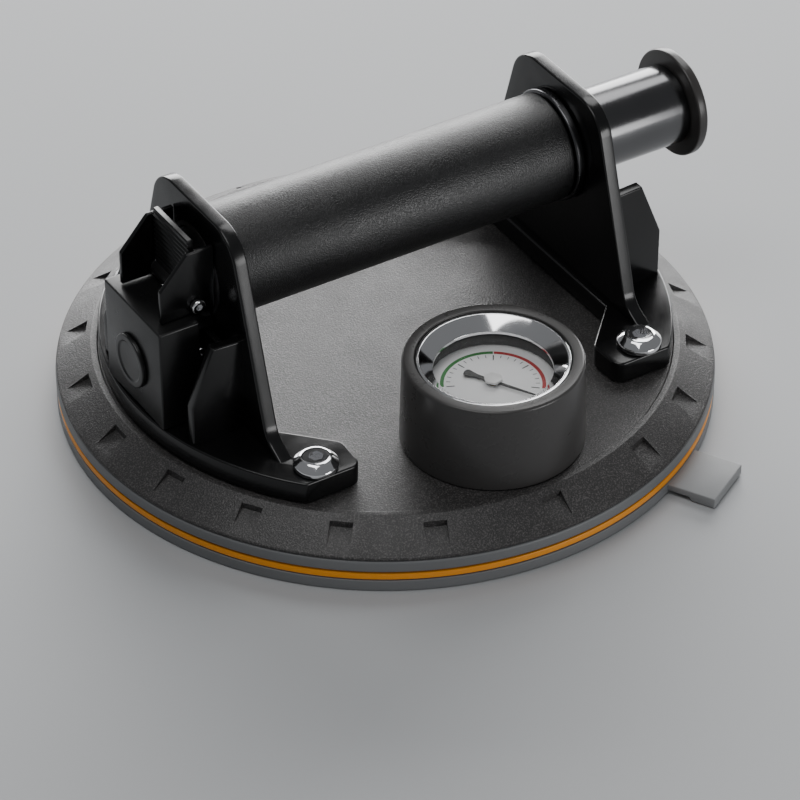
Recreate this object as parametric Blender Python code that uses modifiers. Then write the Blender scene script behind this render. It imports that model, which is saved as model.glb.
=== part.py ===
"""Hand-pump vacuum lifter with a 200 mm suction pad.

Frame: origin at the centre of the suction face, +Z up, the pump and grip along X with the plunger at +X
and the release lever at -X, the vacuum gauge on the -Y side. Lengths are metres.
"""

import math

import bmesh
import bpy
from mathutils import Matrix, Vector

# Driving dimensions
GAP = 0.0003                    # between pieces that touch
PAD_RADIUS = 0.100
PAD_HEIGHT = 0.0107
CHAMBER_DEPTH = 0.0032          # shallow space under the pad
RING_MIDDLE = 0.0052            # height of the orange ring
RING_HALF = 0.0011
RING_SHADOW_GAP = 0.0008        # open part of the groove above the ring
RING_SUNK = 0.0002              # how far the ring lies inside the pad's wall

PLATE_TOP = 0.0185              # flat middle of the base plate
LIP_TOP = 0.0190
LIP_INNER = 0.0872
LIP_OUTER = 0.0889
PLATE_EDGE_RADIUS = 0.0997
PLATE_EDGE_TOP = 0.0118
WINDOW_INNER = 0.0908
WINDOW_OUTER = 0.0975
WINDOW_WIDTH = 0.0068
WINDOW_DEPTH = 0.0020

GRIP_HEIGHT = 0.0661            # pump axis above the suction face
GRIP_RADIUS = 0.0168
BRACKET_INNER = 0.0600          # inner faces of the uprights, from the middle
BRACKET_WALL = 0.0044
BRACKET_OUTER = BRACKET_INNER + BRACKET_WALL
BRACKET_TOP = 0.0890
FLANGE_TOP = 0.0259
FLANGE_RADIUS = 0.0866
FLANGE_FRONT = 0.0595           # straight cut across each foot
TOE = 0.0436                    # how near the middle each bracket's toes come
GUSSET_REACH = 0.0812
GUSSET_TOP_LEFT = 0.0574
GUSSET_TOP_RIGHT = 0.0606
GUSSET_FACE = 0.0270
GUSSET_WALL = 0.0034
SCREW_X = 0.0560
SCREW_Y = 0.0535
SCREW_RADIUS = 0.0030

COLLAR_RADIUS = 0.0176
BARREL_RADIUS = 0.0144
BARREL_BORE = 0.0130
PLUNGER_RADIUS = 0.0126
PLUNGER_BORE = 0.0106
PLUNGER_END = 0.1011
CAP_RADIUS = 0.0170
CAP_THICKNESS = 0.0036
PISTON_LEFT = 0.0010
PISTON_RIGHT = 0.0087
PLUG_RIGHT = -0.0500

VALVE_X = -0.0682               # axis of the release valve's stem
VALVE_FRONT = -0.0720
VALVE_TOP = 0.0583
COVER_FACE = -0.0855
COVER_TOP = 0.0601
COVER_HALF = 0.0166
COVER_WALL = 0.0016
GUARD_HALF = 0.0124
GUARD_WALL = 0.0015
GUARD_TOP = 0.0815
LEVER_FRONT = -0.0720
LEVER_BACK = -0.0698
LEVER_HALF = 0.0099
LEVER_TOP = 0.0843
PIVOT = Vector((-0.0709, 0.0, 0.0633))
PIVOT_RADIUS = 0.0015

GAUGE = Vector((0.0004, -0.0592, 0.0))
GAUGE_RADIUS = 0.0268
GAUGE_TOP = 0.0464
DIAL_TOP = 0.0368
DIAL_VIEW = 0.0175              # radius of the bezel's opening
NEEDLE_REST = math.radians(-60)

TAB_ANGLE = math.radians(-60)
TAB_REACH = 0.1148
TAB_WIDTH = 0.0190

ROUND_LARGE = 64                # facets of the pad, its ring and the base plate
ROUND_MEDIUM = 32
ROUND_SMALL = 16
ARC_STEPS = 20

BLACK = (0.012, 0.012, 0.013)
X_AXIS = Matrix.Rotation(math.radians(90), 4, "Y")      # turns a part's own Z axis onto +X
Y_AXIS = Matrix.Rotation(math.radians(90), 4, "X")      # turns a part's own Z axis onto -Y


def clear_scene():
    for old in list(bpy.data.objects):
        bpy.data.objects.remove(old)


clear_scene()
parts = bpy.data.collections.new("vacuum_suction_cup")
cutters = bpy.data.collections.new("cutters")
for collection in (parts, cutters):
    bpy.context.scene.collection.children.link(collection)


def material(name, colour, roughness, metallic=0.0, alpha=1.0):
    made = bpy.data.materials.new(name)
    made.use_nodes = True
    shader = made.node_tree.nodes["Principled BSDF"]
    shader.inputs["Base Color"].default_value = (*colour, 1.0)
    shader.inputs["Roughness"].default_value = roughness
    shader.inputs["Metallic"].default_value = metallic
    shader.inputs["Alpha"].default_value = alpha
    return made


TEXTURED_BLACK = material("textured_black", (0.03, 0.03, 0.032), 0.55)
GLOSS_BLACK = material("gloss_black", BLACK, 0.25)
GREY_RUBBER = material("grey_rubber", (0.13, 0.135, 0.14), 0.6)
ORANGE_RUBBER = material("orange_rubber", (0.75, 0.30, 0.02), 0.45)
GRIP_RUBBER = material("grip_rubber", (0.02, 0.02, 0.021), 0.5)
SATIN_STEEL = material("satin_steel", (0.12, 0.12, 0.125), 0.3, 1.0)
CHROME = material("chrome", (0.8, 0.8, 0.82), 0.08, 1.0)
ALUMINIUM = material("aluminium", (0.6, 0.6, 0.62), 0.35, 1.0)
BRASS = material("brass", (0.6, 0.45, 0.18), 0.35, 1.0)
SEAL_RUBBER = material("seal_rubber", (0.02, 0.02, 0.02), 0.7)
DIAL_WHITE = material("dial_white", (0.8, 0.8, 0.78), 0.5)
NEEDLE_BLACK = material("needle_black", BLACK, 0.4)
CLEAR = material("clear_glass", (0.9, 0.9, 0.9), 0.02, 0.0, 0.2)


def place(obj, finish, matrix=None, collection=parts):
    """Links an object, gives it its finish and puts it where it belongs."""
    collection.objects.link(obj)
    if finish:
        obj.data.materials.clear()
        obj.data.materials.append(finish)
    if matrix is not None:
        obj.matrix_world = matrix
    return obj


def as_cutter(obj):
    """Hides a helper from the render and leaves it as a wire outline."""
    obj.hide_render = True
    obj.display_type = "WIRE"
    return obj


def turned(name, profile, finish, matrix=None, facets=ROUND_MEDIUM, ring=False, collection=parts):
    """A profile of (radius, height) points turned about Z. It runs down the outer side; a ring is closed."""
    mesh = bpy.data.meshes.new(name)
    edges = [(i, i + 1) for i in range(len(profile) - 1)]
    if ring:
        edges.append((len(profile) - 1, 0))
    mesh.from_pydata([(radius, 0.0, height) for radius, height in profile], edges, [])
    obj = place(bpy.data.objects.new(name, mesh), finish, matrix, collection)
    screw = obj.modifiers.new("turn", "SCREW")
    screw.steps = screw.render_steps = facets
    screw.use_merge_vertices = True
    screw.merge_threshold = 0.00001
    screw.use_smooth_shade = False
    return obj


def rounded(corners, facets=4):
    """An outline of (x, y, radius) corners, with an arc at each corner whose radius isn't zero."""
    points = []
    for index, (x, y, radius) in enumerate(corners):
        here = Vector((x, y))
        if radius == 0:
            points.append(here)
            continue
        back = (Vector(corners[index - 1][:2]) - here).normalized()
        ahead = (Vector(corners[(index + 1) % len(corners)][:2]) - here).normalized()
        half = back.angle(ahead) / 2
        centre = here + (back + ahead).normalized() * (radius / math.sin(half))
        start = here + back * (radius / math.tan(half)) - centre
        turn = start.angle_signed(here + ahead * (radius / math.tan(half)) - centre)
        for step in range(facets + 1):
            points.append(centre + start @ Matrix.Rotation(turn * step / facets, 2))
    return points


def extruded(name, outline, low, high, finish, matrix=None, collection=parts):
    """A flat outline in X and Y made solid from height low to high, then placed by matrix."""
    curve = bpy.data.curves.new(name, "CURVE")
    curve.dimensions = "2D"
    curve.fill_mode = "BOTH"
    curve.extrude = (high - low) / 2
    spline = curve.splines.new("POLY")
    spline.points.add(len(outline) - 1)
    for point, (x, y) in zip(spline.points, outline):
        point.co = (x, y, 0.0, 1.0)
    spline.use_cyclic_u = True
    flat = bpy.data.objects.new(name, curve)
    bpy.context.scene.collection.objects.link(flat)
    solid = as_mesh(flat)
    lift = Matrix.Translation((0.0, 0.0, (low + high) / 2))
    return place(solid, finish, (matrix or Matrix()) @ lift, collection)


def as_mesh(source):
    """Turns a curve object into a welded mesh object of the same name, and removes the curve."""
    bpy.context.view_layer.update()
    graph = bpy.context.evaluated_depsgraph_get()
    mesh = bpy.data.meshes.new_from_object(source.evaluated_get(graph))
    name = source.name
    bpy.data.objects.remove(source)
    shape = bmesh.new()
    shape.from_mesh(mesh)
    bmesh.ops.remove_doubles(shape, verts=shape.verts, dist=0.000001)
    bmesh.ops.recalc_face_normals(shape, faces=shape.faces)
    shape.to_mesh(mesh)
    shape.free()
    return bpy.data.objects.new(name, mesh)


def block(name, low, high, finish, collection=parts):
    """A box between two corners."""
    low, high = Vector(low), Vector(high)
    mesh = bpy.data.meshes.new(name)
    shape = bmesh.new()
    size = Matrix.Diagonal((*(high - low), 1.0))
    bmesh.ops.create_cube(shape, size=1.0, matrix=Matrix.Translation((low + high) / 2) @ size)
    shape.to_mesh(mesh)
    shape.free()
    return place(bpy.data.objects.new(name, mesh), finish, None, collection)


def combine(obj, others, operation):
    """Joins helpers to an object, or cuts it with them, and keeps each helper as a hidden wire outline."""
    for other in others:
        step = obj.modifiers.new(other.name, "BOOLEAN")
        step.operation = operation
        step.object = as_cutter(other)
    return obj


def hole(name, radius, low, high, matrix, facets=ROUND_SMALL):
    """A round cutter along its own Z from low to high."""
    profile = [(0.0, high), (radius, high), (radius, low), (0.0, low)]
    return turned(name, profile, None, matrix, facets, collection=cutters)


def upright(x, y):
    return Matrix.Translation((x, y, 0.0))


def along_x(height=GRIP_HEIGHT, y=0.0):
    return Matrix.Translation((0.0, y, height)) @ X_AXIS


# Suction pad with its pull tab

def pad_underside():
    """Profile of the underside from the outer sealing land in to the central land."""
    points = [(PAD_RADIUS, 0.0006), (PAD_RADIUS - 0.0006, 0.0), (0.0932, 0.0), (0.0920, CHAMBER_DEPTH)]
    for middle in (0.060, 0.033):
        points += [(middle + 0.0016, CHAMBER_DEPTH), (middle, 0.0010), (middle - 0.0016, CHAMBER_DEPTH)]
    return points + [(0.0100, CHAMBER_DEPTH), (0.0092, 0.0), (0.0, 0.0)]


def make_pad():
    groove = PAD_RADIUS - 0.0014
    above = RING_MIDDLE + RING_HALF + RING_SHADOW_GAP
    below = RING_MIDDLE - RING_HALF - GAP
    wall = [(0.0, PAD_HEIGHT), (PAD_RADIUS - 0.0004, PAD_HEIGHT), (PAD_RADIUS, PAD_HEIGHT - 0.0004)]
    wall += [(PAD_RADIUS, above), (groove, above), (groove, below), (PAD_RADIUS, below)]
    pad = turned("rubber_pad", wall + pad_underside(), GREY_RUBBER, facets=ROUND_LARGE)
    turn = Matrix.Rotation(TAB_ANGLE, 4, "Z") @ Matrix.Rotation(math.radians(90), 4, "X")
    top = below - 0.0002
    side = [(0.0960, 0.0015), (0.1065, 0.0015), (0.1070, 0.0003), (TAB_REACH, 0.0003), (TAB_REACH, top), (0.0960, top)]
    tab = extruded("tab", side, -TAB_WIDTH / 2, TAB_WIDTH / 2, None, turn, cutters)
    combine(pad, [tab], "UNION")
    port = hole("pad_port", 0.0046, -0.001, 0.012, upright(VALVE_X, 0.0))
    gauge_port = hole("pad_gauge_port", 0.0040, -0.001, 0.012, upright(GAUGE.x, GAUGE.y))
    return combine(pad, [port, gauge_port], "DIFFERENCE")


def make_seal_ring():
    inner = PAD_RADIUS - 0.0014 + GAP
    outer = PAD_RADIUS - RING_SUNK
    corner = 0.0006
    top, bottom = RING_MIDDLE + RING_HALF, RING_MIDDLE - RING_HALF
    profile = [(inner, top), (outer - corner, top), (outer, top - corner)]
    profile += [(outer, bottom + corner), (outer - corner, bottom), (inner, bottom)]
    return turned("seal_ring", profile, ORANGE_RUBBER, facets=ROUND_LARGE, ring=True)


make_pad()
make_seal_ring()

# Base plate

def window_angles():
    """Twenty windows: one on each of the four axes and four between, wider apart beside the Y axis."""
    quarter = [22.5 + 16.875 * step for step in range(4)]
    offsets = [0.0] + quarter + [90.0] + [180.0 - angle for angle in reversed(quarter)]
    return [math.radians(-90 + offset + half * 180) for half in (0, 1) for offset in offsets]


def cone_height(radius):
    slope = (LIP_TOP - 0.0001 - PLATE_EDGE_TOP) / (PLATE_EDGE_RADIUS - 0.0003 - LIP_OUTER)
    return LIP_TOP - 0.0001 - (radius - LIP_OUTER) * slope


def make_window_cutter():
    """All the windows as one cutter: wedges whose floor meets the plate's slope at its outer end."""
    mesh = bpy.data.meshes.new("windows")
    shape = bmesh.new()
    length = WINDOW_OUTER - WINDOW_INNER
    floor = cone_height(WINDOW_INNER) - WINDOW_DEPTH
    fall = floor - cone_height(WINDOW_OUTER)
    above = 0.004
    for angle in window_angles():
        made = bmesh.ops.create_cube(shape, size=1.0)
        for vertex in made["verts"]:
            outer = vertex.co.x > 0
            high = vertex.co.z > 0
            vertex.co.y *= WINDOW_WIDTH
            vertex.co.x = WINDOW_INNER + length * outer
            vertex.co.z = floor + (above if high else -fall * outer)
        bmesh.ops.rotate(shape, verts=made["verts"], matrix=Matrix.Rotation(angle, 3, "Z"))
    shape.to_mesh(mesh)
    shape.free()
    return place(bpy.data.objects.new("windows", mesh), None, None, cutters)


def make_base_plate():
    bottom = PAD_HEIGHT + GAP
    profile = [(0.0, PLATE_TOP), (LIP_INNER - 0.0004, PLATE_TOP), (LIP_INNER, LIP_TOP)]
    profile += [(LIP_OUTER, LIP_TOP - 0.0001), (PLATE_EDGE_RADIUS - 0.0003, PLATE_EDGE_TOP)]
    profile += [(PLATE_EDGE_RADIUS, PLATE_EDGE_TOP - 0.0003), (PLATE_EDGE_RADIUS, bottom), (0.0, bottom)]
    plate = turned("base_plate", profile, TEXTURED_BLACK, facets=ROUND_LARGE)
    holes = [make_window_cutter()]
    for x in (-SCREW_X, SCREW_X):
        for y in (-SCREW_Y, SCREW_Y):
            holes.append(hole("plate_screw_hole", SCREW_RADIUS + GAP, 0.010, 0.020, upright(x, y)))
    holes.append(hole("plate_port", 0.0020, 0.010, 0.020, upright(VALVE_X, 0.0)))
    holes.append(hole("plate_gauge_hole", 0.0044, 0.010, 0.020, upright(GAUGE.x, GAUGE.y)))
    return combine(plate, holes, "DIFFERENCE")


make_base_plate()
turned("intake_filter", [(0.0, 0.0104), (0.0040, 0.0104), (0.0040, 0.0092), (0.0, 0.0092)], BRASS,
       upright(VALVE_X, 0.0), ROUND_SMALL)

# Brackets, each one casting: foot flange, upright and two gussets

def flange_outline(side):
    """Half an annulus beside the pump axis, cut straight across its feet, with a toe turned inwards at each end."""
    end = math.asin(FLANGE_FRONT / FLANGE_RADIUS) - 0.03
    sweep = [end * (2 * step / ARC_STEPS - 1) for step in range(ARC_STEPS + 1)]
    outer = [(FLANGE_RADIUS * math.cos(angle), FLANGE_RADIUS * math.sin(angle)) for angle in sweep]
    corner = math.sqrt(FLANGE_RADIUS ** 2 - FLANGE_FRONT ** 2)
    upper = [(corner, FLANGE_FRONT, 0.0020), (TOE + 0.0006, FLANGE_FRONT, 0.0035), (TOE, 0.0474, 0.0040), (0.0580, 0.0325, 0.0)]
    feet = upper + [(x, -y, radius) for x, y, radius in reversed(upper)]
    corners = [(*outer[-1], 0.0)] + feet + [(*outer[0], 0.0)]
    points = outer + rounded(corners)[1:-1]
    return [(side * x, y) for x, y in points]


def upright_outline():
    """The upright as (height, y) points: a flat top with round corners, straight flanks and a flared foot."""
    half = [(FLANGE_TOP - 0.001, 0.0490, 0.0), (FLANGE_TOP + 0.0002, 0.0470, 0.0), (FLANGE_TOP + 0.0040, 0.0394, 0.0080),
            (BRACKET_TOP, 0.0213, 0.0120)]
    other = [(height, -y, radius) for height, y, radius in reversed(half)]
    return rounded(half + other)


def gusset_outline(side, top):
    """A gusset as seen along Y, as (x, height) points."""
    points = [(BRACKET_OUTER - 0.001, FLANGE_TOP - 0.001), (GUSSET_REACH, FLANGE_TOP - 0.001)]
    points += [(GUSSET_REACH, top - 0.0185), (0.0738, top), (BRACKET_OUTER - 0.001, top - 0.0006)]
    return [(side * x, height) for x, height in points]


def make_bracket(name, side, gusset_top):
    bracket = extruded(name, flange_outline(side), PLATE_TOP + GAP, FLANGE_TOP, GLOSS_BLACK)
    # (height, y) in the outline's plane becomes world (z, y), so the solid's own Z axis points along -X.
    stand = Matrix(((0, 0, -1, 0), (0, 1, 0, 0), (1, 0, 0, 0), (0, 0, 0, 1)))
    ends = sorted((-side * BRACKET_INNER, -side * BRACKET_OUTER))
    pieces = [extruded("upright", upright_outline(), ends[0], ends[1], None, stand, cutters)]
    lean = Matrix.Rotation(math.radians(90), 4, "X")
    for face in (GUSSET_FACE, GUSSET_WALL - GUSSET_FACE):
        outline = gusset_outline(side, gusset_top)
        pieces.append(extruded("gusset", outline, face - GUSSET_WALL, face, None, lean, cutters))
    combine(bracket, pieces, "UNION")
    low, high = sorted((side * 0.055, side * 0.070))
    holes = [hole("barrel_hole", BARREL_RADIUS + GAP, low, high, along_x(), ROUND_MEDIUM)]
    for y in (-SCREW_Y, SCREW_Y):
        holes.append(hole("flange_hole", SCREW_RADIUS + 0.0004, 0.016, 0.028, upright(side * SCREW_X, y)))
    if side < 0:
        holes.append(hole("flange_port", 0.0016, 0.016, 0.028, upright(VALVE_X, 0.0)))
    return combine(bracket, holes, "DIFFERENCE")


def make_flange_screw(name, x, y):
    """Pan-head screw with a socket."""
    seat = FLANGE_TOP + GAP
    profile = [(0.0, seat + 0.0014), (0.0024, seat + 0.0014), (0.0024, seat + 0.0034), (0.0042, seat + 0.0034)]
    profile += [(0.0060, seat + 0.0024), (0.0067, seat + 0.0008), (0.0067, seat), (SCREW_RADIUS, seat)]
    profile += [(SCREW_RADIUS, 0.0126), (SCREW_RADIUS - 0.0005, 0.0121), (0.0, 0.0121)]
    return turned(name, profile, CHROME, upright(x, y), ROUND_SMALL)


make_bracket("left_bracket", -1, GUSSET_TOP_LEFT)
make_bracket("right_bracket", 1, GUSSET_TOP_RIGHT)
for side_name, x in (("left", -SCREW_X), ("right", SCREW_X)):
    for end_name, y in (("front", -SCREW_Y), ("rear", SCREW_Y)):
        make_flange_screw(f"flange_screw_{side_name}_{end_name}", x, y)

# Grip and pump, turned about the pump axis; a profile's heights are X positions

def tube(outer, bore, low, high, corner=0.0):
    """Profile of a tube between two X positions, with its outer edges broken by a small corner."""
    if corner == 0:
        return [(bore, high), (outer, high), (outer, low), (bore, low)]
    return [(bore, high), (outer - corner, high), (outer, high - corner),
            (outer, low + corner), (outer - corner, low), (bore, low)]


def make_grip():
    end = BRACKET_INNER - GAP
    collar = 0.0028
    bore = BARREL_RADIUS + GAP
    grip_end = end - collar - GAP
    turned("grip_sleeve", tube(GRIP_RADIUS, bore, -grip_end, grip_end, 0.0008), GRIP_RUBBER, along_x(), ring=True)
    turned("left_collar", tube(COLLAR_RADIUS, bore, -end, -end + collar, 0.0006), GLOSS_BLACK, along_x(), ring=True)
    turned("right_collar", tube(COLLAR_RADIUS, bore, end - collar, end, 0.0006), GLOSS_BLACK, along_x(), ring=True)


def make_pump():
    axis = along_x()
    turned("pump_barrel", tube(BARREL_RADIUS, BARREL_BORE, -BRACKET_OUTER, BRACKET_OUTER), ALUMINIUM, axis, ring=True)
    bush = tube(0.0159, PLUNGER_RADIUS + GAP, BRACKET_OUTER + GAP, BRACKET_OUTER + 0.0031, 0.0006)
    turned("barrel_bush", bush, GLOSS_BLACK, axis, ring=True)
    plug = tube(BARREL_BORE - GAP, 0.0015, -BRACKET_OUTER + 0.0002, PLUG_RIGHT)
    turned("barrel_plug", plug, ALUMINIUM, axis, ring=True)
    flap = [(0.0, PLUG_RIGHT + 0.0011), (0.0045, PLUG_RIGHT + 0.0011), (0.0045, PLUG_RIGHT + GAP), (0.0, PLUG_RIGHT + GAP)]
    turned("check_valve_flap", flap, SEAL_RUBBER, axis, ROUND_SMALL)
    turned("plunger_tube", tube(PLUNGER_RADIUS, PLUNGER_BORE, PISTON_RIGHT + GAP, PLUNGER_END), SATIN_STEEL, axis, ring=True)
    make_piston(axis)
    make_cap(axis)


def make_piston(axis):
    """Piston head with a seal groove; its spigot fits inside the plunger tube."""
    head, spigot = PLUNGER_RADIUS - 0.0001, PLUNGER_BORE - GAP
    groove, middle, half = PLUNGER_RADIUS - 0.0022, (PISTON_LEFT + PISTON_RIGHT) / 2, 0.0016
    profile = [(0.0, 0.0160), (spigot, 0.0160), (spigot, PISTON_RIGHT), (head, PISTON_RIGHT), (head, middle + half)]
    profile += [(groove, middle + half), (groove, middle - half), (head, middle - half), (head, PISTON_LEFT), (0.0, PISTON_LEFT)]
    turned("piston", profile, ALUMINIUM, axis)
    half -= GAP
    crown = PLUNGER_RADIUS + 0.0002
    ring = [(groove + GAP, middle + half), (crown - 0.0005, middle + half), (crown, middle + half / 2)]
    ring += [(crown, middle - half / 2), (crown - 0.0005, middle - half), (groove + GAP, middle - half)]
    turned("piston_seal", ring, SEAL_RUBBER, axis, ring=True)


def make_cap(axis):
    """Round push button on the end of the plunger."""
    inner = PLUNGER_END + GAP
    outer = inner + CAP_THICKNESS
    spigot = PLUNGER_BORE - GAP
    profile = [(0.0, outer), (CAP_RADIUS - 0.0010, outer), (CAP_RADIUS, outer - 0.0010), (CAP_RADIUS, inner + 0.0005)]
    profile += [(CAP_RADIUS - 0.0005, inner), (spigot, inner), (spigot, inner - 0.0090), (0.0, inner - 0.0090)]
    turned("plunger_cap", profile, GLOSS_BLACK, axis)


def make_coil(name, radius, wire, low, high, turns, matrix, per_turn):
    """A round wire coil about its own Z axis, from height low to high."""
    curve = bpy.data.curves.new(name, "CURVE")
    curve.dimensions = "3D"
    curve.bevel_depth = wire
    curve.bevel_resolution = 1
    curve.use_fill_caps = True
    count = turns * per_turn
    spline = curve.splines.new("POLY")
    spline.points.add(count)
    for index, point in enumerate(spline.points):
        angle = 2 * math.pi * index / per_turn
        height = low + wire + (high - low - 2 * wire) * index / count
        point.co = (radius * math.cos(angle), radius * math.sin(angle), height, 1.0)
    coil = bpy.data.objects.new(name, curve)
    return place(coil, SATIN_STEEL, matrix)


make_grip()
make_pump()
make_coil("pump_spring", 0.0093, 0.0007, PLUG_RIGHT + 0.0004, PISTON_LEFT - 0.0003, 8, along_x(), 8)

# Release valve, its cover, and the thumb guard with the lever

def make_valve_body():
    """Block against the left upright with a stem passage that widens to the valve chamber below."""
    chamfer = 0.0045
    half = 0.0120
    outline = [(FLANGE_TOP + GAP, half), (VALVE_TOP - chamfer, half), (VALVE_TOP, half - chamfer)]
    outline += [(height, -y) for height, y in reversed(outline)]
    stand = Matrix(((0, 0, -1, 0), (0, 1, 0, 0), (1, 0, 0, 0), (0, 0, 0, 1)))
    body = extruded("valve_body", outline, BRACKET_OUTER + GAP, -VALVE_FRONT, GLOSS_BLACK, stand)
    lug = block("stop_lug", (-0.0682, -0.0186, 0.0440), (-0.0660, -0.0105, 0.0525), None, cutters)
    combine(body, [lug], "UNION")
    passage = hole("stem_passage", 0.0015, 0.035, 0.060, upright(VALVE_X, 0.0))
    chamber = hole("valve_chamber", 0.0027, 0.020, 0.036, upright(VALVE_X, 0.0))
    screw_hole = hole("clamp_hole", 0.0013, 0.0060, 0.0130, Matrix.Translation((-0.0704, 0.0, 0.0463)) @ Y_AXIS)
    return combine(body, [passage, chamber, screw_hole], "DIFFERENCE")


def make_valve_cover():
    """Rectangular cap, open towards the valve body."""
    low = (COVER_FACE, -COVER_HALF, FLANGE_TOP + GAP)
    high = (VALVE_FRONT - GAP, COVER_HALF, COVER_TOP)
    cover = block("valve_cover", low, high, GLOSS_BLACK)
    inside_low = [value + COVER_WALL for value in low]
    inside_high = (high[0] + 0.005, high[1] - COVER_WALL, high[2] - COVER_WALL)
    inside = block("cover_inside", inside_low, inside_high, None, cutters)
    return combine(cover, [inside], "DIFFERENCE")


def make_valve_stem():
    head = 0.0325
    profile = [(0.0, 0.0600), (0.0010, 0.0600), (0.0010, head + 0.0015), (0.0021, head + 0.0015), (0.0021, head), (0.0, head)]
    turned("valve_stem", profile, BRASS, upright(VALVE_X, 0.0), ROUND_SMALL)
    seal = [(0.0013, 0.0357), (0.0023, 0.0357), (0.0023, head + 0.0018), (0.0013, head + 0.0018)]
    turned("valve_seal", seal, SEAL_RUBBER, upright(VALVE_X, 0.0), ROUND_SMALL, ring=True)
    make_coil("valve_spring", 0.0019, 0.0003, FLANGE_TOP + 0.0003, head - 0.0003, 5, upright(VALVE_X, 0.0), 8)


def make_thumb_guard():
    """A channel of two walls and a low web behind the lever; the walls' outer top corners are cut off at a slope."""
    back, front = -BRACKET_OUTER - GAP, -0.0824
    web_front, inner = back - 0.0015, GUARD_HALF - GUARD_WALL
    channel = [(back, -GUARD_HALF), (back, GUARD_HALF), (front, GUARD_HALF), (front, inner)]
    channel += [(web_front, inner), (web_front, -inner), (front, -inner), (front, -GUARD_HALF)]
    guard = extruded("thumb_guard", channel, COVER_TOP + GAP, GUARD_TOP, GLOSS_BLACK)
    slope = [(-0.0732, GUARD_TOP), (front, 0.0712), (front - 0.01, 0.0712), (front - 0.01, GUARD_TOP + 0.01),
             (-0.0732, GUARD_TOP + 0.01)]
    lean = Matrix.Rotation(math.radians(90), 4, "X")
    corner = extruded("guard_slope", slope, -0.02, 0.02, None, lean, cutters)
    over_web = block("over_web", (web_front - 0.002, -inner, 0.0680), (back + 0.002, inner, 0.0900), None, cutters)
    pin_hole = hole("guard_pin_hole", PIVOT_RADIUS + GAP, -0.02, 0.02, Matrix.Translation(PIVOT) @ Y_AXIS)
    return combine(guard, [corner, over_web, pin_hole], "DIFFERENCE")


def make_release_lever():
    """Thumb plate on a barrel-shaped boss, with a nose behind the boss that presses the valve stem."""
    boss = 0.0028
    lever = block("release_lever", (LEVER_FRONT, -LEVER_HALF, PIVOT.z), (LEVER_BACK, LEVER_HALF, LEVER_TOP), GLOSS_BLACK)
    barrel = hole("lever_boss", boss, -LEVER_HALF, LEVER_HALF, Matrix.Translation(PIVOT) @ Y_AXIS)
    nose = block("lever_nose", (-0.0705, -0.0030, 0.0603), (-0.0670, 0.0030, 0.0620), None, cutters)
    combine(lever, [barrel, nose], "UNION")
    bore = hole("lever_bore", PIVOT_RADIUS + GAP, -0.02, 0.02, Matrix.Translation(PIVOT) @ Y_AXIS, 12)
    return combine(lever, [bore], "DIFFERENCE")


def socket_screw(name, finish, matrix, shank, head, seat, tip, tall):
    """A small screw along its own Z, with a socket in a head that stands on height seat."""
    socket = head * 0.45
    top = seat + tall
    profile = [(0.0, top - tall * 0.6), (socket, top - tall * 0.6), (socket, top), (head - 0.0003, top), (head, top - 0.0003)]
    profile += [(head, seat), (shank, seat), (shank, tip), (0.0, tip)]
    return turned(name, profile, finish, matrix, 12)


make_valve_body()
make_valve_cover()
turned("cover_disc", [(0.0, 0.0012), (0.0078, 0.0012), (0.0084, 0.0007), (0.0084, 0.0), (0.0, 0.0)], GLOSS_BLACK,
       Matrix.Translation((COVER_FACE - GAP, 0.0004, 0.0412)) @ Matrix.Rotation(math.radians(-90), 4, "Y"), 24)
make_valve_stem()
make_thumb_guard()
make_release_lever()
socket_screw("pivot_screw", CHROME, Matrix.Translation(PIVOT) @ Y_AXIS, PIVOT_RADIUS, 0.0022, GUARD_HALF + GAP, -0.0132, 0.0016)
socket_screw("clamp_screw", CHROME, Matrix.Translation((-0.0704, 0.0, 0.0463)) @ Y_AXIS, 0.0010, 0.0018, 0.0123, 0.0065, 0.0014)

# Vacuum gauge, turned about its own axis

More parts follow.
